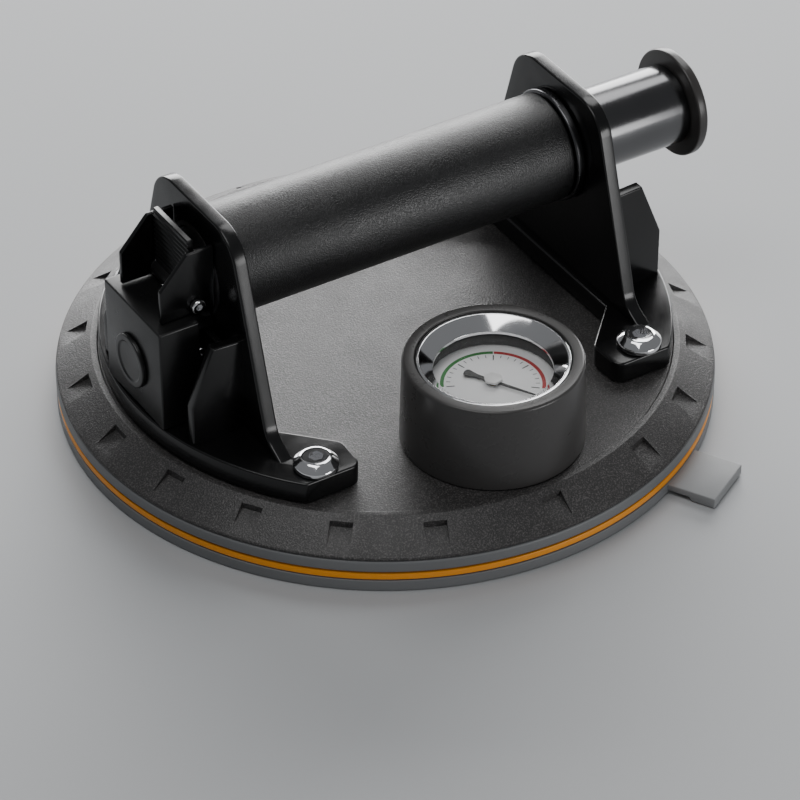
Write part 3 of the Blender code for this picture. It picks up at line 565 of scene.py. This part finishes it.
def grained_finish(name, shaded_crease, crown, low, high, depth):
    """A grained rubber: the grain's creases painted darker and its crowns painted lighter, as painted shade
    and light, and the grain's own height.
    """
    finish = plain_finish(name, shaded_crease, crown, low, high, specular=0.6)
    tree = finish.node_tree
    shader = tree.nodes["Principled BSDF"]
    grain = tree.nodes.new("ShaderNodeGroup")
    grain.node_tree = leather_grain
    # Painted shade and light: the grain's height darkens the colour in the creases and lightens it on the
    # crowns.
    tree.links.new(grain.outputs["Height"], tree.nodes["Mix"].inputs["Factor"])
    bump = tree.nodes.new("ShaderNodeBump")
    bump.inputs["Distance"].default_value = depth
    tree.links.new(grain.outputs["Height"], bump.inputs["Height"])
    tree.links.new(bump.outputs["Normal"], shader.inputs["Normal"])
    return finish


# The two colours are painted shade in the grain's creases and painted light on its crowns.
grip_rubber = grained_finish("grained_grip", (0.006, 0.006, 0.006), (0.022, 0.022, 0.023), 0.32, 0.42,
                             0.00006)


def sleeve(name, radius, bore, low, high, corner):
    """A tube about the pump's axis between two X positions, with its outer corners rounded."""
    outline = [(bore, high, 0.0), (radius, high, corner), (radius, low, corner), (bore, low, 0.0)]
    return turned(name, outline, PUMP_AXIS, 128, ring=True)


grip = sleeve("grip", grip_high.y, BARREL_BORE, grip_low.x, grip_high.x, 0.0010)
settle(grip, grip_rubber, "base", "grip_sleeve")
satin_collar = plain_finish("satin_collar", (0.10, 0.10, 0.105), (0.15, 0.15, 0.155), 0.22, 0.32,
                            metallic=1.0)
for side_name in ("left", "right"):
    low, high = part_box(f"{side_name}_collar")
    collar = sleeve(f"collar_{side_name}", high.y, BARREL_BORE, low.x, high.x, 0.0007)
    settle(collar, satin_collar, "base", f"{side_name}_collar")

# The pump: a turned barrel inside the grip, closed by a plug with a check-valve flap. A bush outside the
# right bracket guides the plunger, whose piston carries an O-ring and pushes against the return spring.

turned_aluminium = plain_finish("turned_aluminium", (0.50, 0.50, 0.52), (0.62, 0.62, 0.64), 0.25, 0.38,
                                metallic=1.0)
turned_brass = plain_finish("turned_brass", (0.50, 0.36, 0.13), (0.62, 0.46, 0.18), 0.25, 0.38, metallic=1.0)
spring_steel = plain_finish("spring_wire", (0.30, 0.30, 0.31), (0.42, 0.42, 0.43), 0.22, 0.34, metallic=1.0)
seal_rubber = plain_finish("seal_rubber", (0.012, 0.012, 0.012), (0.022, 0.022, 0.022), 0.55, 0.7)
hidden_finishes = {
    "pump_barrel": turned_aluminium, "barrel_plug": turned_aluminium, "piston": turned_aluminium,
    "intake_filter": turned_brass, "valve_stem": turned_brass, "gauge_capsule": turned_brass,
    "gauge_stem": turned_brass, "needle_spindle": turned_brass,
    "pump_spring": spring_steel, "valve_spring": spring_steel,
    "piston_seal": seal_rubber, "check_valve_flap": seal_rubber, "valve_seal": seal_rubber,
    "gauge_gasket": seal_rubber,
}
for node, finish in hidden_finishes.items():
    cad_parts[node].data.materials.clear()
    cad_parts[node].data.materials.append(finish)

bush_low, bush_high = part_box("barrel_bush")
BUSH_BORE = 0.0129
bush = sleeve("plunger_bush", bush_high.y, BUSH_BORE, bush_low.x, bush_high.x, 0.0007)
settle(bush, gloss_black, "base", "barrel_bush")

# The plunger: a smooth dark steel tube with a broad satin shine, and a round push button moulded in
# dark plastic plugged into its end. Its rim is rounded and its outer face is slightly dished.

tube_low, tube_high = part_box("plunger_tube")
PLUNGER_BORE = 0.0106
SPIGOT = PLUNGER_BORE - 0.0003  # radius of the button's plug inside the tube
dark_steel = plain_finish("dark_satin_steel", (0.13, 0.13, 0.133), (0.17, 0.17, 0.174), 0.17, 0.24,
                          metallic=1.0)
plunger = sleeve("plunger", tube_high.y, PLUNGER_BORE, tube_low.x, tube_high.x, 0.0004)
settle(plunger, dark_steel, "plunger", "plunger_tube")

cap_low, cap_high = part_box("plunger_cap")
cap_inner = tube_high.x + 0.0003
CAP_RADIUS = cap_high.y
cap_dish = cap_high.x - 0.0007
cap_outline = [(0.0, cap_dish, 0.0), (0.0105, cap_dish, 0.0030), (0.0135, cap_high.x, 0.0020),
               (CAP_RADIUS, cap_high.x, 0.0013), (CAP_RADIUS, cap_inner, 0.0007), (SPIGOT, cap_inner, 0.0),
               (SPIGOT, cap_low.x, 0.0003), (0.0, cap_low.x, 0.0)]
button_black = plain_finish("button_moulding", (0.040, 0.037, 0.036), (0.052, 0.048, 0.047), 0.28, 0.38)
settle(turned("push_button", cap_outline, PUMP_AXIS, 128), button_black, "plunger", "plunger_cap")

# The release valve: a block against the left bracket with its stem and spring inside and a stop lug on its
# side, behind a rectangular moulded cover. A round disc sits on the cover's outer face.

body_low, body_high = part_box("valve_body")
VALVE_X = -0.0682               # the valve stem's place
chamfer, half = 0.0045, 0.0120
LUG_BOTTOM, LUG_TOP = 0.0440, 0.0525
STEM_BORE, CHAMBER_BORE = 0.0015, 0.0027
block_outline = [(body_low.z, half), (body_high.z - chamfer, half), (body_high.z, half - chamfer)]
block_outline += [(height, -y) for height, y in reversed(block_outline)]
block = keep_mesh("valve_block", soften(prism(block_outline, -body_high.x, -body_low.x), 0.0004), face_x)
lug_outline = [(VALVE_X, body_low.y), (-0.0660, body_low.y), (-0.0660, -0.0105), (VALVE_X, -0.0105)]
lug = keep_mesh("lug", soften(prism(lug_outline, LUG_BOTTOM, LUG_TOP), 0.0004))
merged(block, [lug], "UNION")
stem_axis = Matrix.Translation((VALVE_X, 0.0, 0.0))
bores = [round_cutter(STEM_BORE, 0.035, 0.060, stem_axis, 24),
         round_cutter(CHAMBER_BORE, 0.020, 0.036, stem_axis, 24)]
settle(crease_over(merged(block, bores, "DIFFERENCE"), 32), gloss_black, "base", "valve_body")

cover_low, cover_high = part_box("valve_cover")
cover_black = plain_finish("cover_moulding", (0.006, 0.006, 0.0062), (0.009, 0.009, 0.0093), 0.26, 0.38)


def solid_box(low, high, edge, segments=3):
    """A bmesh box between two corners, with its edges rounded."""
    outline = [(low[0], low[1]), (high[0], low[1]), (high[0], high[1]), (low[0], high[1])]
    return soften(prism(outline, low[2], high[2]), edge, segments)


wall = 0.0016
cover = keep_mesh("cover_box", solid_box(cover_low, cover_high, 0.0006, 4))
hollow_low = [value + wall for value in cover_low]
hollow_high = (cover_high.x + 0.005, cover_high.y - wall, cover_high.z - wall)
hollow = keep_mesh("hollow", solid_box(hollow_low, hollow_high, 0.0003))
settle(crease_over(merged(cover, [hollow], "DIFFERENCE"), 32), cover_black, "base", "valve_cover")

disc_low, disc_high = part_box("cover_disc")
disc_radius = (disc_high.y - disc_low.y) / 2
disc_middle = (disc_high.x, (disc_low.y + disc_high.y) / 2, (disc_low.z + disc_high.z) / 2)
disc_stand = Matrix.Translation(disc_middle) @ Matrix.Rotation(math.radians(-90), 4, "Y")
disc_thick = disc_high.x - disc_low.x
disc_sunk = disc_thick - 0.0004
disc_outline = [(0.0, disc_sunk, 0.0), (0.0060, disc_sunk, 0.0010), (0.0066, disc_thick, 0.0005),
                (disc_radius, disc_thick, 0.0005), (disc_radius, 0.0, 0.0), (0.0, 0.0, 0.0)]
settle(turned("cover_plug", disc_outline, disc_stand, 96), cover_black, "base", "cover_disc")

# The thumb guard: two side walls and a low web in gloss black, held against the bracket just above the
# valve. It keeps the release lever from being pressed by accident, and its outer corners are sloped off.

guard_low, guard_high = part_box("thumb_guard")
GUARD_WALL, WEB_TOP = 0.0015, 0.0680
PIVOT = Vector((-0.0709, 0.0, 0.0633))
PIN_BORE = 0.0018
pin_stand = Matrix.Translation(PIVOT) @ lean


def make_guard():
    """Two side walls with a low web between them, bored for the pivot screw."""
    side = rounded([(guard_high.x, guard_low.z, 0.0), (guard_high.x, guard_high.z, 0.0004),
                    (-0.0732, guard_high.z, 0.0010), (guard_low.x, 0.0712, 0.0010),
                    (guard_low.x, guard_low.z, 0.0)], 4)
    near = keep_mesh("guard", soften(prism(side, guard_high.y - GUARD_WALL, guard_high.y), 0.00035, 3), lean)
    far = keep_mesh("far", soften(prism(side, guard_low.y, guard_low.y + GUARD_WALL), 0.00035, 3), lean)
    web = keep_mesh("web", solid_box((guard_high.x - 0.0014, guard_low.y + 0.0004, guard_low.z + 0.0002),
                                     (guard_high.x - 0.0001, guard_high.y - 0.0004, WEB_TOP), 0.0003))
    merged(near, [far, web], "UNION")
    pin_hole = round_cutter(PIN_BORE, -0.02, 0.02, pin_stand, 32)
    return crease_over(merged(near, [pin_hole], "DIFFERENCE"), 32)


settle(make_guard(), gloss_black, "base", "thumb_guard")

# The release lever: a moulded thumb plate with raised ridges across its face, on a boss that turns about
# the pivot screw. A nose behind the boss pushes the valve stem down.

lever_low, lever_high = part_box("release_lever")
LEVER_FRONT, LEVER_BACK = -0.0720, -0.0698
RIDGE_PITCH, RIDGE_RISE = 0.0016, 0.0005
BOSS_RADIUS = 0.0028


def make_lever():
    """The ridged plate with its boss and nose, bored for the pivot screw."""
    face, crown = LEVER_FRONT + RIDGE_RISE, LEVER_FRONT
    outline = [(LEVER_BACK, PIVOT.z), (LEVER_BACK, lever_high.z - 0.0006),
               (LEVER_BACK - 0.0006, lever_high.z), (crown + 0.0003, lever_high.z),
               (crown, lever_high.z - 0.0004)]
    height = lever_high.z - 0.0012
    while height - RIDGE_PITCH > PIVOT.z + 0.0035:
        outline += [(crown, height), (face, height - RIDGE_PITCH * 0.25), (face, height - RIDGE_PITCH * 0.6),
                    (crown, height - RIDGE_PITCH * 0.85)]
        height -= RIDGE_PITCH
    outline += [(crown, PIVOT.z)]
    plate = keep_mesh("lever", soften(prism(outline, lever_low.y, lever_high.y), 0.0002, 2, 60), lean)
    boss_outline = [(0.0, lever_high.y, 0.0), (BOSS_RADIUS, lever_high.y, 0.0004),
                    (BOSS_RADIUS, lever_low.y, 0.0004), (0.0, lever_low.y, 0.0)]
    boss = turned("boss", boss_outline, pin_stand, 48)
    nose = keep_mesh("nose", solid_box((-0.0705, -0.0030, 0.0603), (-0.0670, 0.0030, 0.0620), 0.0003))
    merged(plate, [boss, nose], "UNION")
    bore = round_cutter(PIN_BORE, -0.02, 0.02, pin_stand, 32)
    return crease_over(merged(plate, [bore], "DIFFERENCE"), 32)


settle(make_lever(), cover_black, "lever", "release_lever")

# The two small chrome screws on the gauge side: the pivot screw that the lever turns on, and the clamp
# screw that holds the valve block.


def small_screw(name, stand, shank, head, seat, tip, tall):
    """A screw along its own Z whose head of the given height stands on the seat, with a hexagon socket."""
    outline = [(0.0, seat + tall, 0.0), (head, seat + tall, 0.0005), (head, seat, 0.0001),
               (shank, seat, 0.0), (shank, tip, 0.0002), (0.0, tip, 0.0)]
    screw = turned(name, outline, stand, 48)
    socket = keep_mesh("socket", prism(hexagon(head * 0.5), seat + tall * 0.35, seat + tall + 0.001), stand)
    return crease_over(merged(screw, [socket], "DIFFERENCE"), 30)


pin_low, pin_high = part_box("pivot_screw")
clamp_low, clamp_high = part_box("clamp_screw")
CLAMP_PLACE = (-0.0704, 0.0, 0.0463)
clamp_stand = Matrix.Translation(CLAMP_PLACE) @ lean
pin_seat, clamp_seat = 0.0127, 0.0123
pin = small_screw("lever_screw", pin_stand, 0.0015, 0.0022, pin_seat, -pin_high.y, -pin_low.y - pin_seat)
clamp = small_screw("block_screw", clamp_stand, 0.0010, 0.0018, clamp_seat, -clamp_high.y,
                    -clamp_low.y - clamp_seat)
settle(pin, chrome, "base", "pivot_screw")
settle(clamp, chrome, "base", "clamp_screw")

# The gauge housing: a deep moulded cup in dark semi-gloss plastic with slightly drafted sides, fixed to
# the base plate. A chrome bezel slopes down like a funnel to the glass.

house_low, house_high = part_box("gauge_housing")
GAUGE_X, GAUGE_Y = (house_low.x + house_high.x) / 2, (house_low.y + house_high.y) / 2
HOUSE_FOOT = (house_high.x - house_low.x) / 2
HOUSE_TOP = HOUSE_FOOT - 0.0007
gauge_stand = Matrix.Translation((GAUGE_X, GAUGE_Y, 0.0))
dial_low, dial_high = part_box("gauge_dial")
ledge = dial_low.z - 0.0003
MOUTH = 0.0229
HOUSE_FLOOR = house_low.z + 0.0030
INSIDE = 0.0205
STEM_HOLE = 0.0042
house_outline = [(STEM_HOLE, HOUSE_FLOOR, 0.0), (INSIDE, HOUSE_FLOOR, 0.0), (INSIDE, ledge, 0.0),
                 (MOUTH, ledge, 0.0), (MOUTH, house_high.z, 0.0003), (HOUSE_TOP, house_high.z, 0.0010),
                 (HOUSE_FOOT, house_low.z, 0.0004), (STEM_HOLE, house_low.z, 0.0)]
housing_black = plain_finish("housing_moulding", (0.050, 0.048, 0.047), (0.056, 0.054, 0.053), 0.26, 0.32)
settle(turned("gauge_cup", house_outline, gauge_stand, ring=True), housing_black, "base", "gauge_housing")

bezel_low, bezel_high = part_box("gauge_bezel")
BEZEL_RADIUS = (bezel_high.x - bezel_low.x) / 2
VIEW = 0.0175
bezel_outline = [(VIEW, bezel_low.z + 0.0008, 0.0003), (BEZEL_RADIUS - 0.0010, bezel_high.z, 0.0004),
                 (BEZEL_RADIUS, bezel_high.z, 0.0003), (BEZEL_RADIUS, bezel_low.z, 0.0),
                 (VIEW, bezel_low.z, 0.0)]
settle(turned("bezel", bezel_outline, gauge_stand, ring=True), chrome, "base", "gauge_bezel")

# The gauge glass and the dial under it: a white printed disc with an arc that runs from green to red and
# short graduation marks inside it.

lens_low, lens_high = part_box("gauge_lens")
lens_radius = (lens_high.x - lens_low.x) / 2
glass = bpy.data.materials.new("gauge_glass")
glass.use_nodes = True
glass_shader = glass.node_tree.nodes["Principled BSDF"]
glass_shader.inputs["Base Color"].default_value = (0.96, 0.97, 0.97, 1.0)
glass_shader.inputs["Roughness"].default_value = 0.03
glass_shader.inputs["Alpha"].default_value = 0.02
glass_outline = [(0.0, lens_high.z, 0.0), (lens_radius, lens_high.z, 0.0002),
                 (lens_radius, lens_low.z, 0.0002), (0.0, lens_low.z, 0.0)]
settle(turned("gauge_glass", glass_outline, gauge_stand, 128), glass, "base", "gauge_lens")

dial_radius = (dial_high.x - dial_low.x) / 2
dial_print = plain_finish("dial_face", (0.84, 0.84, 0.84), (0.89, 0.89, 0.89), 0.38, 0.5, patch=40.0)
SPINDLE_HOLE = 0.0013
dial_outline = [(SPINDLE_HOLE, dial_high.z, 0.0), (dial_radius, dial_high.z, 0.0002),
                (dial_radius, dial_low.z, 0.0), (SPINDLE_HOLE, dial_low.z, 0.0)]
settle(turned("dial", dial_outline, gauge_stand, 128, ring=True), dial_print, "base", "gauge_dial")

ARC_START, ARC_MIDDLE, ARC_END = math.radians(155), math.radians(57), math.radians(-41)
ARC_INNER, ARC_OUTER = 0.0143, 0.0154
LONG_MARK, SHORT_MARK, MARK_OUTER = 0.0112, 0.0124, 0.0136
INK_RISE = 0.00006


def arc_band(shape, inner, outer, start, end):
    """Adds a thin raised band of ink between two radii and two angles."""
    steps = max(2, int(abs(end - start) / math.radians(2)))
    angles = [start + (end - start) * step / steps for step in range(steps + 1)]
    path = [(outer, angle) for angle in angles] + [(inner, angle) for angle in reversed(angles)]
    base = [shape.verts.new((radius * math.cos(angle), radius * math.sin(angle), dial_high.z))
            for radius, angle in path]
    lifted = bmesh.ops.extrude_face_region(shape, geom=[shape.faces.new(base)])["geom"]
    raised = [item for item in lifted if isinstance(item, bmesh.types.BMVert)]
    bmesh.ops.translate(shape, verts=raised, vec=(0, 0, INK_RISE))


def ink(name, colour):
    """A printed colour."""
    return plain_finish(name, colour, tuple(value * 1.15 for value in colour), 0.35, 0.5)


for name, colour, start, end in (("green_arc", (0.01, 0.17, 0.02), ARC_START, ARC_MIDDLE + 0.01),
                                 ("red_arc", (0.40, 0.006, 0.008), ARC_MIDDLE - 0.01, ARC_END)):
    band = bmesh.new()
    arc_band(band, ARC_INNER, ARC_OUTER, start, end)
    settle(keep_mesh(name, band, gauge_stand), ink(name, colour), "base")

marks = bmesh.new()
for step in range(21):
    angle = ARC_START + (ARC_END - ARC_START) * step / 20
    long = step % 5 == 0
    half = math.radians(0.75 if long else 0.4)
    arc_band(marks, LONG_MARK if long else SHORT_MARK, MARK_OUTER, angle + half, angle - half)
settle(keep_mesh("graduations", marks, gauge_stand), ink("mark_ink", (0.02, 0.02, 0.02)), "base")

# The pointer: a thin stamped needle with a counterweight, under a white hexagonal hub cap.

needle_low, needle_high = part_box("gauge_needle")
pointer = [(0.0139, 0.00015), (0.0018, 0.00045), (0.0014, 0.0011), (-0.0014, 0.0011), (-0.0030, 0.0006),
           (-0.0055, 0.0007), (-0.0085, 0.0015), (-0.0092, 0.0011), (-0.0095, 0.0)]
pointer += [(x, -y) for x, y in reversed(pointer[:-1])]
REST_ANGLE = math.radians(-60)
needle_turn = gauge_stand @ Matrix.Rotation(REST_ANGLE, 4, "Z")
needle_black = plain_finish("needle_paint", (0.010, 0.010, 0.010), (0.018, 0.018, 0.018), 0.35, 0.5)
needle = keep_mesh("pointer", prism(pointer, needle_low.z, needle_high.z), needle_turn)
settle(needle, needle_black, "needle", "gauge_needle")

hub_low, hub_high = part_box("needle_hub")
hub_white = plain_finish("hub_moulding", (0.74, 0.74, 0.73), (0.80, 0.80, 0.79), 0.3, 0.42)
HUB_RADIUS, HUB_TURN = 0.0029, math.radians(8)
hub = prism(hexagon(HUB_RADIUS, HUB_TURN), hub_low.z, hub_high.z)
settle(keep_mesh("hub_cap", soften(hub, 0.00025, 3), gauge_stand), hub_white, "needle", "needle_hub")
